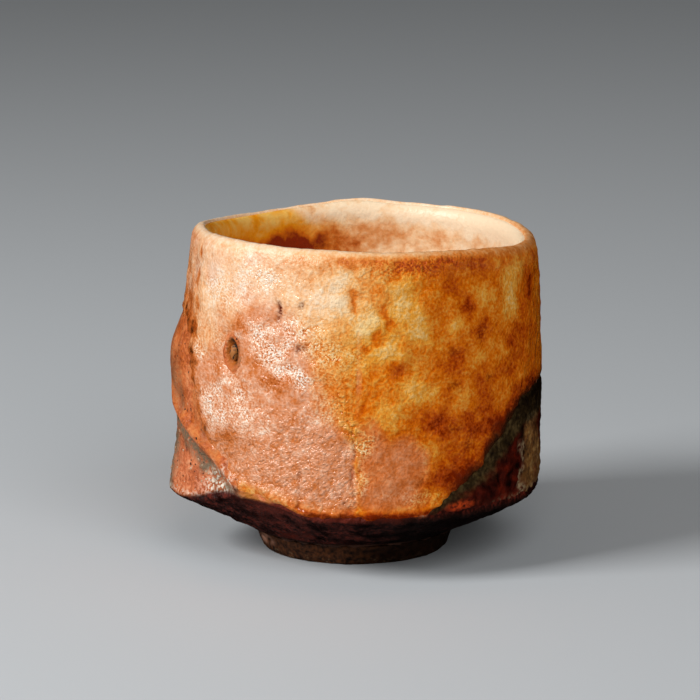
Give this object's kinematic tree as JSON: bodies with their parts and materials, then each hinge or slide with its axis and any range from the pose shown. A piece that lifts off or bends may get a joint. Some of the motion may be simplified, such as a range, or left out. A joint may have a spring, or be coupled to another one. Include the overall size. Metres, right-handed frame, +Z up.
{
  "type": "guinomi sake cup",
  "caption": "Small hand-formed stoneware sake cup with a leaning rounded lip, flashed cream and orange glaze, spatula cuts and a low foot ring.",
  "frame": {"origin": "centre of the foot ring's flat standing face", "axes": "+Z up out of the bowl, -Y towards the front of the cup as pictured, +X to its right"},
  "size_m": [0.0705, 0.0672, 0.0617],
  "materials": {
    "stoneware_clay": "coarse unglazed stoneware, flashed orange-red, satin",
    "foot_clay": "coarse unglazed stoneware, dark brown, rough",
    "slip": "fired slip, matt",
    "flashed_glaze": "mottled cream to orange glaze, satin gloss with fine orange peel",
    "lining_glaze": "cream to rust glaze, satin",
    "ash_glaze": "dark olive ash crust, satin",
    "feldspar": "white feldspar, half melted",
    "burnt_stone": "burnt ochre stone, rough"
  },
  "bodies": {
    "root": {"clay_body": "stoneware_clay", "foot_ring": "foot_clay", "luting_slip": "slip", "outer_glaze": "flashed_glaze", "lining_glaze": "lining_glaze", "ash_crust": "ash_glaze", "feldspar_grains": "feldspar", "burst_stone": "burnt_stone"}
  },
  "joints": []
}
